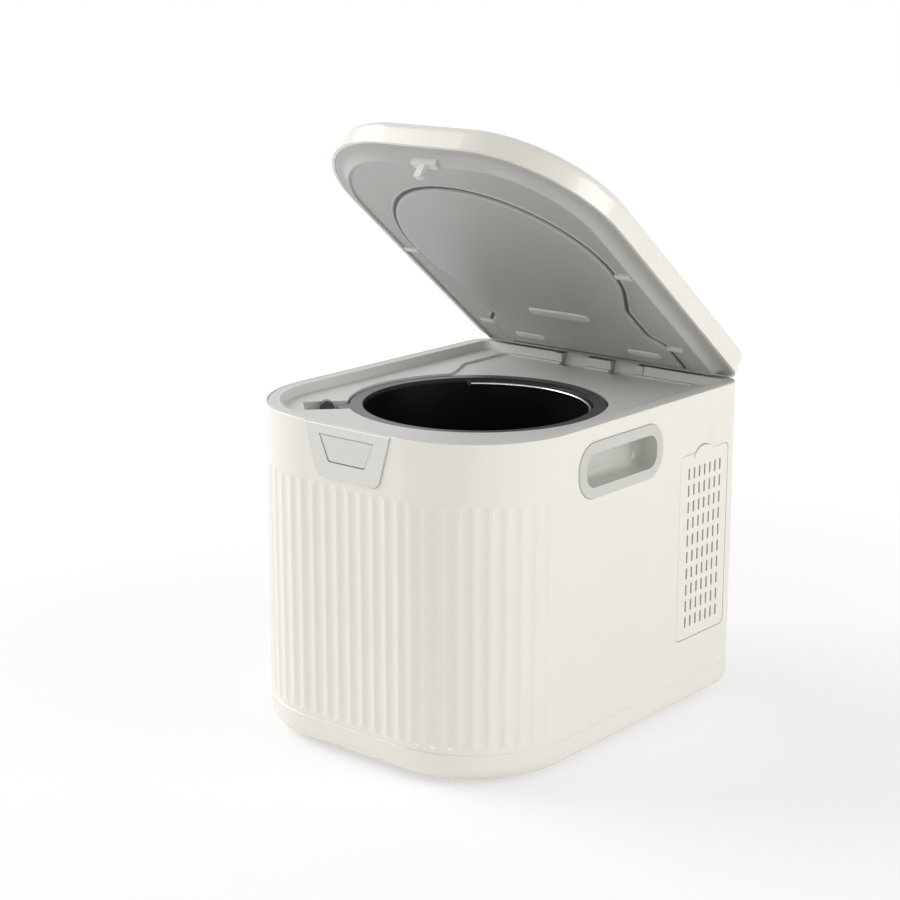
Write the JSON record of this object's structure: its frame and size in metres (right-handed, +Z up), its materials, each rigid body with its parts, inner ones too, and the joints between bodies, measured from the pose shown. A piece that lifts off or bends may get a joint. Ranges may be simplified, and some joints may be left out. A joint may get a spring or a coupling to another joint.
{
  "type": "food waste composter",
  "caption": "Countertop electric food waste composter: fluted cream body, sunk grey deck, dark bucket with wire bail, hinged lid held open, side filter drawer.",
  "frame": {"origin": "middle of the whole object's bounding box in plan, at the feet's rest plane, with the lid standing open", "axes": "+Z up, the front with its release button faces -Y, the filter drawer is on +X"},
  "size_m": [0.2724, 0.3378, 0.4729],
  "materials": {
    "body_white": "semi-gloss cream white",
    "rear_white": "satin cream white",
    "filter_cover_white": "semi-gloss cream white",
    "cup_grey": "semi-gloss light grey",
    "button_grey": "semi-gloss pale grey",
    "deck_grey": "satin light grey",
    "bracket_grey": "satin light grey",
    "lid_grey": "satin mid grey",
    "cover_grey": "satin mid grey",
    "seal_grey": "soft grey silicone",
    "foot_rubber": "matt black",
    "bucket_black": "non-stick dark coating",
    "paddle_metal": "non-stick dark coating",
    "bail_steel": "bright drawn wire",
    "screw_steel": "zinc plated",
    "shaft_steel": "ground",
    "liner_aluminium": "deep drawn",
    "heater_steel": "plain",
    "chassis_steel": "galvanised",
    "motor_steel": "plain",
    "gear_white": "natural acetal",
    "pinion_brass": "cut",
    "coupling_black": "glass-filled nylon",
    "tray_grey": "moulded",
    "carbon_black": "granular",
    "board_green": "solder mask",
    "panel_black": "gloss",
    "lens_clear": "clear"
  },
  "bodies": {
    "root": {"outer_casing": "body_white", "base_tray": "body_white", "rubber_feet": "foot_rubber", "base_screws": "screw_steel", "chassis_plate": "chassis_steel", "rear_cover": "rear_white", "mains_inlet": "coupling_black", "handle_cup_right": "cup_grey", "handle_cup_left": "cup_grey", "top_deck": "deck_grey", "hinge_bracket": "bracket_grey", "hinge_pin": "screw_steel", "latch_bezel": "cup_grey", "latch_housing": "coupling_black", "button_spring": "screw_steel", "lid_sensor_housing": "deck_grey", "chamber_liner": "liner_aluminium", "liner_screws": "screw_steel", "heater_plate": "heater_steel", "thermal_sensor": "heater_steel", "drive_motor": "motor_steel", "gearbox_case": "coupling_black", "gearbox_cover": "coupling_black", "gear_axles": "screw_steel", "filter_frame": "coupling_black", "fan_housing": "coupling_black", "fan_motor": "motor_steel", "air_duct": "coupling_black", "power_board": "board_green", "control_board": "board_green"},
    "lid": {"hinge_arms": "bracket_grey", "lid_shell": "body_white", "lid_inner_panel": "lid_grey", "lid_inner_cover": "cover_grey", "lid_gasket": "seal_grey", "cover_clips": "lid_grey", "lid_hook": "lid_grey", "touch_panel": "panel_black", "indicator_lenses": "lens_clear", "lid_board": "board_green", "lid_magnet": "motor_steel"},
    "bucket": {"bucket": "bucket_black", "shaft_bush": "pinion_brass"},
    "bail": {"bail_handle": "bail_steel"},
    "paddle": {"mixing_paddle": "paddle_metal", "driven_coupling": "coupling_black"},
    "output": {"output_gear": "gear_white", "output_shaft": "shaft_steel", "driving_coupling": "coupling_black"},
    "second_gear": {"second_gear": "gear_white"},
    "first_gear": {"first_gear": "gear_white"},
    "rotor": {"motor_pinion": "pinion_brass", "motor_shaft": "shaft_steel"},
    "button": {"release_button": "button_grey", "latch_slider": "coupling_black"},
    "filter_drawer": {"filter_cover": "filter_cover_white", "carbon_cartridge": "tray_grey", "carbon_filter": "carbon_black"},
    "impeller": {"fan_impeller": "coupling_black"}
  },
  "joints": [
    {"name": "lid_hinge", "type": "hinge", "parent": "root", "child": "lid", "pos_m": [0, 0.14999, 0.25], "axis": [-1, 0, 0], "range_deg": [-39, 50]},
    {"name": "bucket_lift", "type": "slide", "parent": "root", "child": "bucket", "axis": [0, 0, 1], "range_m": [0, 0.045]},
    {"name": "bail_swing", "type": "hinge", "parent": "bucket", "child": "bail", "pos_m": [0, -0.01701, 0.249], "axis": [0.6947, -0.7193, 0], "range_deg": [0, 180]},
    {"name": "paddle_spin", "type": "hinge", "parent": "bucket", "child": "paddle", "pos_m": [0, -0.01701, 0.095], "axis": [0, 0, 1], "continuous": true},
    {"name": "output_spin", "type": "hinge", "parent": "root", "child": "output", "pos_m": [0, -0.01701, 0.05], "axis": [0, 0, 1], "continuous": true},
    {"name": "second_gear_spin", "type": "hinge", "parent": "root", "child": "second_gear", "pos_m": [-0.03986, 0.03839, 0.05], "axis": [0, 0, 1], "continuous": true},
    {"name": "first_gear_spin", "type": "hinge", "parent": "root", "child": "first_gear", "pos_m": [-0.07315, 0.08466, 0.05], "axis": [0, 0, 1], "continuous": true},
    {"name": "rotor_spin", "type": "hinge", "parent": "root", "child": "rotor", "pos_m": [-0.1003, 0.12241, 0.05], "axis": [0, 0, 1], "continuous": true},
    {"name": "button_press", "type": "slide", "parent": "root", "child": "button", "axis": [0, 1, 0], "range_m": [0, 0.0025], "stiffness_N_per_m": 800, "springref_m": -0.0015, "deforming": ["button_spring"]},
    {"name": "filter_slide", "type": "slide", "parent": "root", "child": "filter_drawer", "axis": [1, 0, 0], "range_m": [0, 0.06]},
    {"name": "fan_spin", "type": "hinge", "parent": "root", "child": "impeller", "pos_m": [0.002, 0.12399, 0.157], "axis": [0, 1, 0], "continuous": true}
  ],
  "couplings": [
    {"joint": "output_spin", "follows": "paddle_spin", "ratio": 1},
    {"joint": "second_gear_spin", "follows": "paddle_spin", "ratio": -4.6875},
    {"joint": "first_gear_spin", "follows": "paddle_spin", "ratio": 17.578},
    {"joint": "rotor_spin", "follows": "paddle_spin", "ratio": -73.242}
  ]
}
